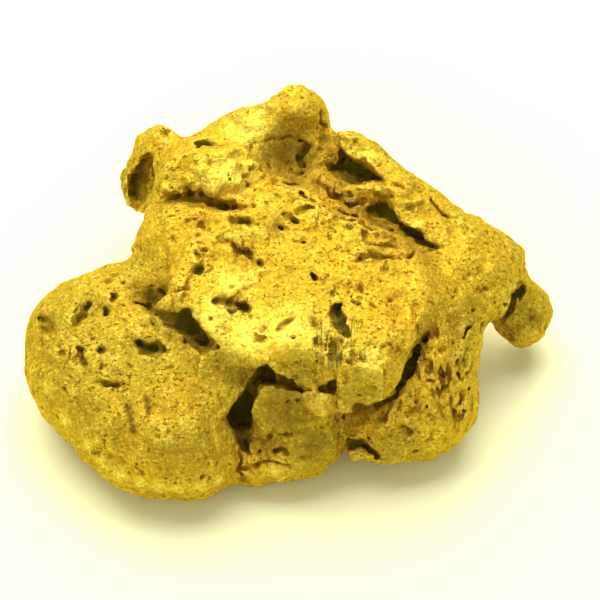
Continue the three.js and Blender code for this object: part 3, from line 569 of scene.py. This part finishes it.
class Clay:
    """Voxels that hold the distance to the surface in mm, negative inside."""

    def __init__(self, points, triangles):
        self.transform = openvdb.createLinearTransform(voxelSize=VOXEL)
        grid = openvdb.FloatGrid.createLevelSetFromPolygons(
            points,
            triangles=triangles.astype(np.uint32),
            transform=self.transform,
            halfWidth=BAND / VOXEL,
        )
        low, high = (np.array(corner) for corner in grid.evalActiveVoxelBoundingBox())
        self.first = low - PADDING
        self.shape = tuple(high + 1 + PADDING - self.first)
        self.values = np.zeros(self.shape, np.float32)
        grid.copyToArray(self.values, ijk=tuple(int(n) for n in self.first))
        self.waves = self.wave_numbers()

    def wave_numbers(self):
        """Square of the wave number, in radians per mm, of each term of a transform of the voxels."""
        across = [np.fft.fftfreq(n, VOXEL) * 2 * np.pi for n in self.shape[:2]]
        up = np.fft.rfftfreq(self.shape[2], VOXEL) * 2 * np.pi
        squares = across[0][:, None, None] ** 2 + across[1][None, :, None] ** 2 + up[None, None, :] ** 2
        return squares.astype(np.float32)

    def blurred(self, width):
        """The distances, averaged with a bell curve of this width."""
        spectrum = np.fft.rfftn(self.values) * np.exp(-self.waves * width * width / 2)
        return np.fft.irfftn(spectrum, s=self.shape).astype(np.float32)

    def noise(self, size, rng):
        """Seeded noise with bumps of about one size, and a spread of 1."""
        spectrum = np.fft.rfftn(rng.standard_normal(self.shape, np.float32))
        width = size / BUMP_PER_BLUR
        keep = np.exp(-self.waves * width * width / 2) - np.exp(-self.waves * (2 * width) ** 2 / 2)
        noise = np.fft.irfftn(spectrum * keep, s=self.shape).astype(np.float32)
        return noise / noise.std()

    def window(self, centre, reach, warp):
        """The part of the voxels near a point, and its places (mm), warped, relative to that point."""
        low = np.floor((centre - reach) / VOXEL).astype(int) - self.first
        high = np.ceil((centre + reach) / VOXEL).astype(int) - self.first + 1
        low, high = np.clip(low, 0, self.shape), np.clip(high, 0, self.shape)
        part = tuple(slice(a, b) for a, b in zip(low, high))
        steps = [(np.arange(a, b) + f) * VOXEL - c for a, b, f, c in zip(low, high, self.first, centre)]
        places = np.stack(np.meshgrid(*steps, indexing="ij"), -1).astype(np.float32)
        return part, places + warp * self.warp[part]

    def seen_through(self, outline, near, far):
        """The voxels behind an outline between two depths: their places across, up and towards the eye."""
        left, bottom = np.min(outline, axis=0) - OUTLINE_MARGIN
        right, top = np.max(outline, axis=0) + OUTLINE_MARGIN
        corners = [
            VIEW_TARGET + VIEW_RIGHT * across + VIEW_UP * up + VIEW_BACK * depth
            for across in (left, right) for up in (bottom, top) for depth in (near, far)
        ]
        low, high = np.min(corners, axis=0), np.max(corners, axis=0)
        centre = (low + high) / 2
        part, places = self.window(centre, (high - low) / 2, OUTLINE_WARP)
        places = places + (centre - EYE).astype(np.float32)
        away = -(places @ VIEW_BACK.astype(np.float32))
        grow = VIEW_DISTANCE / away
        across, up = (places @ way.astype(np.float32) * grow for way in (VIEW_RIGHT, VIEW_UP))
        return part, across, up, VIEW_DISTANCE - away

    def work(self, centre, axes, radii, how):
        """Adds or cuts one ragged ellipsoid."""
        sign, roughness, blend = how
        radii = np.maximum(radii, THINNEST_MARK)
        part, places = self.window(centre, max(radii) * MARK_REACH + PADDING * VOXEL, WARP)
        if min(places.shape) == 0:
            return
        scaled = places @ axes.T.astype(np.float32) / radii
        near = np.linalg.norm(scaled, axis=-1)
        steep = np.linalg.norm(scaled / radii, axis=-1) + 1e-6
        distance = near * (near - 1) / steep
        distance += self.grain[part] * roughness * min(radii)
        self.values[part] = -sign * smooth_max(-sign * self.values[part], -distance, blend)

    def add_plate(self, outline, depth, slopes, thickness, blend):
        """Adds a plate that is seen with this outline."""
        near, far = depth - thickness - PLATE_REACH, depth + PLATE_REACH
        part, across, up, forward = self.seen_through(outline, near, far)
        front = forward - depth + sloping(across, up, outline, slopes)
        front /= math.hypot(1, *slopes)
        edge = outline_distance(across, up, outline) + self.grain[part] * RAGGED
        plate = np.maximum(edge, np.maximum(front, -front - thickness))
        self.values[part] = -smooth_max(-self.values[part], -plate, blend)

    def cut_out(self, outline, depth, slopes, wall=CUT_WALL):
        """Takes away what stands in front of a floor, inside an outline, and leaves sloping walls."""
        behind, in_front = CUT_REACH
        part, across, up, forward = self.seen_through(outline, depth + behind, depth + in_front)
        edge = outline_distance(across, up, outline) + self.grain[part] * CUT_RAGGED
        rise = np.clip(1 + edge / wall, 0, 1) * wall * WALL_RISE
        floor = depth - sloping(across, up, outline, slopes) + rise
        floor += CUT_FLOOR_ROUGHNESS * self.grain[part] * CUT_RAGGED
        gone = np.maximum(edge, floor - forward)
        self.values[part] = smooth_max(self.values[part], -gone, CUT_RIM)

    def sampled(self, values, points):
        """Values of an array of voxels at points in mm."""
        places = points / VOXEL - self.first
        low = np.clip(np.floor(places).astype(int), 0, np.array(self.shape) - 2)
        share = places - low
        total = np.zeros(len(points))
        for corner in np.ndindex(2, 2, 2):
            weight = np.prod(np.where(corner, share, 1 - share), axis=1)
            total += weight * values[tuple((low + corner).T)]
        return total

    def surface(self):
        """Points in mm and quads of the surface."""
        grid = openvdb.FloatGrid(BAND)
        grid.transform = self.transform
        grid.gridClass = openvdb.GridClass.LEVEL_SET
        grid.copyFromArray(self.values, ijk=tuple(int(n) for n in self.first))
        return grid.convertToQuads(isovalue=0)


class Marker:
    """Finds where lines of sight meet the surface, and makes marks there."""

    def __init__(self, clay, rng):
        points, quads = clay.surface()
        self.clay = clay
        self.rng = rng
        self.points = points
        self.tree = BVHTree.FromPolygons(points.tolist(), quads.tolist())

    def mark(self, across, up, length, width, turn, height, half, how):
        """Works one ellipsoid, turned in the view, where a line of sight meets the surface."""
        spot = self.frame_at(across, up, math.radians(turn))
        if spot:
            self.clay.work(*spot, (length / 2, width / 2, height * half), how)

    def frame_at(self, across, up, turn):
        """The surface point in line with a place, and a mark's axes there: along, across and out."""
        hit, normal = first_hit(self.tree, across, up)
        if hit is None:
            return None
        if normal.dot(Vector(VIEW_BACK)) < 0:
            normal = -normal
        out = np.array(normal) + VIEW_BACK
        out /= np.linalg.norm(out)
        along = VIEW_RIGHT * math.cos(turn) + VIEW_UP * math.sin(turn)
        along = along - out * (along @ out)
        along /= np.linalg.norm(along)
        return np.array(hit), np.array([along, np.cross(out, along), out])

    def hole(self, outline, depth):
        """A ragged hole, cut to a depth below the plane that fits the surface inside its outline."""
        middle = np.mean(outline, axis=0)
        rows, levels = [], []
        for corner in outline:
            for share in HOLE_SAMPLES:
                place = middle + (np.array(corner) - middle) * share
                hit, _ = first_hit(self.tree, *place)
                if hit:
                    rows.append([1, *(middle - place)])
                    levels.append((np.array(hit) - VIEW_TARGET) @ VIEW_BACK)
        level, *slopes = np.linalg.lstsq(np.array(rows), np.array(levels), rcond=None)[0]
        self.clay.cut_out(outline, level - depth, slopes, HOLE_WALL + HOLE_WALL_GROWTH * depth)

    def crack(self, depth, path):
        """A row of overlapping pits along a path, uneven in width, depth and line."""
        for (x0, y0, r0), (x1, y1, r1) in zip(path, path[1:]):
            turn = math.atan2(y1 - y0, x1 - x0)
            steps = max(2, math.ceil(math.hypot(x1 - x0, y1 - y0) / (CRACK_SPACING * (r0 + r1))))
            for step in range(steps):
                share = (step + 0.5) / steps
                radius = (r0 + (r1 - r0) * share) * self.rng.uniform(*CRACK_WIDTHS)
                wander = self.rng.uniform(-CRACK_WANDER, CRACK_WANDER, 2) * radius
                place = (x0 + (x1 - x0) * share + wander[0], y0 + (y1 - y0) * share + wander[1])
                spot = self.frame_at(*place, turn)
                if spot:
                    deep = depth * self.rng.uniform(*CRACK_DEPTHS)
                    self.clay.work(*spot, (radius * CRACK_STRETCH, radius, deep), CRACK)

    def group(self, across, up, spread, count, length, width, turn, depth):
        """Small marks of many sizes, round a place."""
        for _ in range(count):
            place = self.rng.normal((across, up), spread / GROUP_SPREADS)
            size = math.exp(self.rng.normal(*GROUP_SIZES))
            turned = turn + self.rng.normal(0, GROUP_TURN)
            self.mark(*place, length * size, width * size, turned, depth * size, *PIT)

    def scatter(self, count, patches):
        """Small pits all over, closer together in some patches."""
        density = self.clay.sampled(patches, self.points) + SCATTER_EVENNESS
        density = np.clip(density, *SCATTER_DENSITY)
        chosen = self.rng.choice(len(self.points), count, p=density / density.sum())
        smallest, largest = SCATTER_RADII
        for centre in self.points[chosen].astype(float):
            growth = math.exp(abs(self.rng.normal(0, SCATTER_SPREAD)))
            radius = min(smallest * growth, largest)
            axes, _ = np.linalg.qr(self.rng.standard_normal((3, 3)))
            radii = radius * self.rng.uniform(*SCATTER_SHAPES)
            self.clay.work(centre, axes, radii, SCATTERED)


def sculpted():
    """The clay, worked. The order of the steps sets the order of the random draws."""
    rng = np.random.default_rng(SEED)
    clay = Clay(*mesh_arrays(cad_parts["nugget"]))
    clay.values = clay.blurred(FACET_BLUR)
    clay.grain = clay.noise(GRAIN_SIZE, rng)
    clay.warp = np.stack([clay.noise(WARP_SIZE, rng) for _ in range(3)], -1)
    patches = clay.noise(SCATTER_CLUMP, rng)
    for plate in PLATES:
        clay.add_plate(*plate)
    for size, height in LUMPS:
        clay.values += clay.noise(size, rng) * height * (1 + LUMP_CLUMPING * np.clip(patches, -1.5, 1.5))
    for spacing, depth, width in CREASES:
        winding = clay.noise(spacing, rng) / width
        strength = np.clip(clay.noise(spacing, rng) + CREASE_LENGTH, 0, 1)
        clay.values += depth * np.exp(-winding * winding) * strength
    for cut in CUTS:
        clay.cut_out(*cut)
    marker = Marker(clay, rng)
    for bump in BUMPS:
        marker.mark(*bump, *BUMP)
    for hole in HOLES:
        marker.hole(*hole)
    for crack in CRACKS:
        marker.crack(*crack)
    for pit in PITS:
        marker.mark(*pit, *PIT)
    for group in GROUPS:
        marker.group(*group)
    marker.scatter(SCATTERED_PITS, patches)
    return clay


def within_box(points):
    """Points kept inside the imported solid's box and above the floor."""
    low, high = (np.array(corner) / MM for corner in cad_box)
    low += BOX_CLEARANCE
    high -= BOX_CLEARANCE
    low[2] = FLOOR_CLEARANCE
    return np.clip(points, low, high)


def outer_shell(points, quads):
    """The largest connected surface, without loose crumbs and closed bubbles, turned to face outwards."""
    labels = np.arange(len(points))
    edges = np.concatenate([quads[:, [0, 1]], quads[:, [1, 2]], quads[:, [2, 3]]]).T
    while True:
        lowest = labels.copy()
        for a, b in (edges, edges[::-1]):
            np.minimum.at(lowest, labels[a], labels[b])
        lowest = lowest[lowest]
        if np.array_equal(lowest, labels):
            break
        labels = lowest
    shells = labels[quads[:, 0]]
    kept = quads[shells == np.bincount(shells).argmax(), ::-1]
    used, kept = np.unique(kept, return_inverse=True)
    return points[used], kept.reshape(-1, 4)


def linked_object(name, mesh):
    """A new object in the scene."""
    obj = bpy.data.objects.new(name, mesh)
    bpy.context.scene.collection.objects.link(obj)
    return obj


def nugget_object(clay):
    """The clay's surface as a mesh object, with few enough triangles."""
    points, quads = outer_shell(*clay.surface())
    mesh = bpy.data.meshes.new("nugget_gold")
    mesh.from_pydata((points * MM).tolist(), [], quads.tolist())
    obj = linked_object("nugget_gold", mesh)
    share = MOST_TRIANGLES / (2 * len(quads))
    if share < 1:
        fewer = obj.modifiers.new("fewer", "DECIMATE")
        fewer.ratio = share
        bpy.context.view_layer.update()
        evaluated = obj.evaluated_get(bpy.context.evaluated_depsgraph_get())
        obj.data = bpy.data.meshes.new_from_object(evaluated)
        obj.modifiers.clear()
    points, _ = mesh_arrays(obj)
    obj.data.vertices.foreach_set("co", (within_box(points) * MM).astype(np.float32).ravel())
    obj.data.update()
    obj.data.shade_smooth()
    return obj


def add_layer(mesh, name, values):
    """Keeps one number from 0 to 1 for each vertex."""
    layer = mesh.attributes.new(name, "FLOAT", "POINT")
    layer.data.foreach_set("value", np.clip(values, 0, 1).astype(np.float32))


def patch_strength(points, tree, patches, clay):
    """How strongly each point belongs to one of the patches, with ragged borders."""
    ragged = PATCH_RAGGED * clay.sampled(clay.grain, points)
    strength = np.zeros(len(points))
    for across, up, radius in patches:
        hit, _ = first_hit(tree, across, up)
        if hit:
            away = np.linalg.norm(points - np.array(hit), axis=1) / radius
            strength = np.maximum(strength, PATCH_MIDDLE - away + ragged)
    return strength


def add_layers(obj, clay):
    """Marks each vertex by its relief, and by how strongly it belongs to each kind of patch."""
    points, _ = mesh_arrays(obj)
    points = points.astype(float)
    for name, (blur, full) in RELIEF.items():
        add_layer(obj.data, name, clay.sampled(clay.blurred(blur), points) / full)
    tree = BVHTree.FromPolygons(points.tolist(), [tuple(face.vertices) for face in obj.data.polygons])
    for name, patches in PATCHES.items():
        add_layer(obj.data, name, patch_strength(points, tree, patches, clay))


class Shader:
    """Adds nodes to a material and joins them up."""

    def __init__(self, name):
        self.material = bpy.data.materials.new(name)
        self.material.use_nodes = True
        self.tree = self.material.node_tree
        self.tree.nodes.clear()

    def plug(self, socket, value):
        """Links or sets an input."""
        if isinstance(value, bpy.types.NodeSocket):
            self.tree.links.new(value, socket)
        else:
            socket.default_value = value

    def node(self, kind, inputs=None, **settings):
        """A new node, with its settings and inputs."""
        made = self.tree.nodes.new("ShaderNode" + kind)
        for name, value in settings.items():
            setattr(made, name, value)
        for name, value in (inputs or {}).items():
            self.plug(made.inputs[name], value)
        return made

    def layer(self, name):
        """The number kept for each vertex under a name."""
        return self.node("Attribute", attribute_name=name).outputs["Fac"]

    def calculate(self, operation, a, b, clamp=False):
        return self.node("Math", {0: a, 1: b}, operation=operation, use_clamp=clamp).outputs[0]

    plus = partialmethod(calculate, "ADD")
    minus = partialmethod(calculate, "SUBTRACT")
    times = partialmethod(calculate, "MULTIPLY")
    larger = partialmethod(calculate, "MAXIMUM")

    def noise(self, place, size, detail, roughness):
        """Noise with bumps of a size in mm."""
        inputs = {"Vector": place, "Scale": 1 / size, "Detail": detail, "Roughness": roughness}
        return self.node("TexNoise", inputs).outputs["Fac"]

    def drawn_out_noise(self, place, grain, squeeze, turn):
        """Noise squeezed across, which draws it out along X, then turned in plan."""
        inputs = {"Vector": place, "Rotation": (0, 0, turn), "Scale": (1.0, squeeze, squeeze)}
        return self.noise(self.node("Mapping", inputs).outputs[0], *grain)

    def ramp(self, value, *stops):
        """A value spread between two stops of (value, result)."""
        made = self.node("ValToRGB", {"Fac": value})
        for element, (at, result) in zip(made.color_ramp.elements, stops):
            element.position = at
            element.color = (result, result, result, 1)
        return made.outputs["Color"]

    def mix(self, share, a, b):
        """Colour a, with a share of it covered by colour b."""
        made = self.node("Mix", data_type="RGBA")
        for socket, value in zip((made.inputs[0], made.inputs[6], made.inputs[7]), (share, a, b)):
            self.plug(socket, value)
        return made.outputs[2]


def mottled_gold(s, marks, grain):
    """Patches of ochre gold, olive gold (painted shade on faces turned from the light) and pale gold (wear,
    plus painted highlight and painted reflection on the lip, rims and proud edges), then fine mottling.
    Also how ochre and how pale it is.
    """
    ochre = s.larger(marks["ochre"], s.ramp(grain["wide"], (0.52, 0), (0.68, 0.8)))
    ochre = s.times(ochre, s.ramp(grain["middle"], (0.34, 0.25), (0.6, 1)))
    colour = s.mix(ochre, GOLD, OCHRE_GOLD)
    # The olive patches paint shade on faces turned from the light; the grain adds random olive tone.
    olive = s.larger(marks["olive"], s.ramp(grain["middle"], (0.56, 0), (0.72, 0.7)))
    colour = s.mix(s.times(olive, OLIVE_COVER), colour, OLIVE_GOLD)
    # Pale gold: wear, plus painted highlight on the lip and along proud edges, and painted reflection along
    # the left foot's lower rim.
    pale = s.times(marks["worn"], s.ramp(grain["fine"], (0.3, 0.6), (0.6, 1.2)), clamp=True)
    pale = s.larger(pale, s.times(marks["proud"], s.ramp(grain["middle"], (0.4, 0.2), (0.6, 0.7))))
    colour = s.mix(s.times(pale, PALE_COVER), colour, PALE_GOLD)
    dull = s.ramp(grain["fine"], (0.36, 0.5), (0.58, 0))
    dull = s.minus(dull, s.times(marks["worn"], 0.25), clamp=True)
    colour = s.mix(dull, colour, OLIVE_GOLD)
    colour = s.mix(s.ramp(grain["grit"], (0.36, 0.55), (0.56, 0)), colour, OLIVE_GOLD)
    colour = s.mix(s.ramp(grain["grit"], (0.54, 0), (0.72, 0.6)), colour, PALE_GOLD)
    return colour, ochre, pale


def streaked(s, colour, torn, streaks):
    """Dull and pale streaks where the gold was torn."""
    colour = s.mix(s.times(torn, s.ramp(streaks, (0.45, 1), (0.54, 0))), colour, TORN_SHADE)
    return s.mix(s.times(torn, s.ramp(streaks, (0.54, 0), (0.6, 1))), colour, PALE_GOLD)


def speckled(s, marks, grain, ochre):
    """Small and tiny specks, more of them in ochre places and fewer in the patches of wear and painted
    highlight.
    """
    fewer = s.ramp(grain["wide"], (0.4, 0.02), (0.6, -0.02))
    fewer = s.plus(fewer, s.times(ochre, 0.05))
    small = s.ramp(s.minus(grain["spots"], fewer), (0.29, 1), (0.35, 0))
    tiny = s.ramp(s.minus(grain["dots"], fewer), (0.29, 1), (0.36, 0))
    specks = s.times(s.larger(small, tiny), s.ramp(grain["middle"], (0.36, 0.35), (0.56, 1)))
    return s.minus(specks, s.times(marks["worn"], 0.5), clamp=True)


def stained(s, marks, grain, specks):
    """Brown stain in the hollows, the pits, the brown patches and the specks. The brown patches over the
    basin, in the cave and under the lip are also painted shade.
    """
    stain = s.plus(s.times(marks["hollow"], 0.6), s.times(marks["pit"], 0.8))
    stain = s.plus(stain, s.times(marks["brown"], s.ramp(grain["fine"], (0.3, 0.9), (0.7, 0.4))))
    stain = s.times(stain, s.ramp(grain["middle"], (0.3, 0.7), (0.6, 1)), clamp=True)
    return s.larger(stain, s.times(specks, 0.85))


def dirt_and_shade(s, marks):
    """Dirt colour, also painted shade, in the deepest places, and sooner in the dark patches, which are
    painted shade.
    """
    deep = s.minus(s.plus(marks["pit"], marks["hollow"]), 1.0)
    dirt = s.plus(deep, s.times(marks["dark"], s.plus(marks["hollow"], 0.35)))
    return s.times(dirt, 1.5, clamp=True)


def gold_material():
    """Matte native gold."""
    s = Shader("native_gold")
    inputs = {"Vector": s.node("TexCoord").outputs["Object"], "Scale": (1 / MM,) * 3}
    place = s.node("Mapping", inputs).outputs[0]
    marks = {name: s.layer(name) for name in (*RELIEF, *PATCHES)}
    grain = {name: s.noise(place, *how) for name, how in GRAINS.items()}
    streaks = s.drawn_out_noise(place, *STREAKS)
    ticks = s.ramp(s.drawn_out_noise(place, *TICKS), (0.38, 1), (0.43, 0))
    torn = s.times(marks["torn"], s.ramp(grain["middle"], (0.4, 0.3), (0.55, 1)))

    colour, ochre, pale = mottled_gold(s, marks, grain)
    colour = streaked(s, colour, torn, streaks)
    specks = speckled(s, marks, grain, ochre)
    stain = stained(s, marks, grain, specks)
    rust = s.larger(marks["scratched"], s.times(ticks, marks["ticked"]), clamp=True)
    colour = s.mix(s.times(stain, STAIN_COVER), colour, STAIN)
    # Dirt colour, which also paints shade into the deepest hollows and the dark patches.
    colour = s.mix(dirt_and_shade(s, marks), colour, DIRT_AND_SHADE)
    colour = s.mix(s.times(rust, RUST_COVER), colour, RUST)
    # Near-black painted shade in the deepest shaded hollows.
    colour = s.mix(s.times(marks["painted_deep_shade"], BLACK_COVER), colour, BLACK_SHADE)

    metal = s.minus(METAL, s.times(stain, 0.35))
    metal = s.minus(metal, s.times(marks["painted_deep_shade"], 0.9), clamp=True)
    rough = s.ramp(grain["fine"], (0.25, 0.6), (0.75, 0.74))
    rough = s.plus(rough, s.times(s.plus(stain, marks["painted_deep_shade"]), 0.25), clamp=True)
    rough = s.minus(rough, s.times(pale, 0.14), clamp=True)

    height = s.plus(s.times(grain["fine"], FINE_HEIGHT), s.times(grain["grit"], GRIT_HEIGHT))
    height = s.minus(height, s.times(specks, SPECK_DEPTH))
    height = s.plus(height, s.times(torn, s.times(streaks, STREAK_HEIGHT)))
    bump = s.node("Bump", {"Strength": 1.0, "Distance": MM, "Height": height}).outputs["Normal"]
    inputs = {
        "Base Color": colour,
        "Metallic": metal,
        "Roughness": rough,
        "Normal": bump,
        "Specular IOR Level": 0.1,
        "Specular Tint": EDGE_TINT,
    }
    s.node("OutputMaterial", {"Surface": s.node("BsdfPrincipled", inputs).outputs[0]})
    return s.material


def floor_object():
    """A large plain card at z = 0."""
    mesh = bpy.data.meshes.new("floor")
    corners = [(x * FLOOR_HALF, y * FLOOR_HALF, 0) for x, y in ((-1, -1), (1, -1), (1, 1), (-1, 1))]
    mesh.from_pydata(corners, [], [(0, 1, 2, 3)])
    s = Shader("floor_card")
    shader = s.node("BsdfPrincipled", {"Base Color": FLOOR_COLOUR, "Roughness": FLOOR_ROUGHNESS})
    s.node("OutputMaterial", {"Surface": shader.outputs[0]})
    mesh.materials.append(s.material)
    return linked_object("floor", mesh)


def add_lights():
    """Square lights that point at the nugget, and an even pale surround."""
    for name, place, size, power in LIGHTS:
        data = bpy.data.lights.new(name, "AREA")
        data.size = size
        data.energy = power
        data.color = LIGHT_COLOUR
        light = linked_object(name, data)
        light.location = place
        light.rotation_euler = (Vector(LIGHT_AIM) - Vector(place)).to_track_quat("-Z", "Y").to_euler()
    world = bpy.data.worlds.new("studio")
    bpy.context.scene.world = world
    world.use_nodes = True
    background = world.node_tree.nodes["Background"]
    background.inputs["Color"].default_value = (*LIGHT_COLOUR, 1)
    background.inputs["Strength"].default_value = WORLD_STRENGTH


def add_camera():
    """The camera at the photograph's angle."""
    data = bpy.data.cameras.new("camera")
    data.sensor_width = SENSOR
    data.lens = SENSOR * VIEW_DISTANCE / VIEW_WIDTH
    data.clip_start = 0.01
    data.clip_end = 20
    camera = linked_object("camera", data)
    camera.location = EYE * MM
    camera.rotation_euler = (math.pi / 2 - VIEW_ELEVATION, 0, 0)
    bpy.context.scene.camera = camera


clay = sculpted()
nugget = nugget_object(clay)
add_layers(nugget, clay)
nugget.data.materials.clear()
nugget.data.materials.append(gold_material())
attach(nugget, "root")
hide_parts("nugget")

floor_object()
add_lights()
add_camera()
bpy.context.scene.view_settings.view_transform = "Standard"
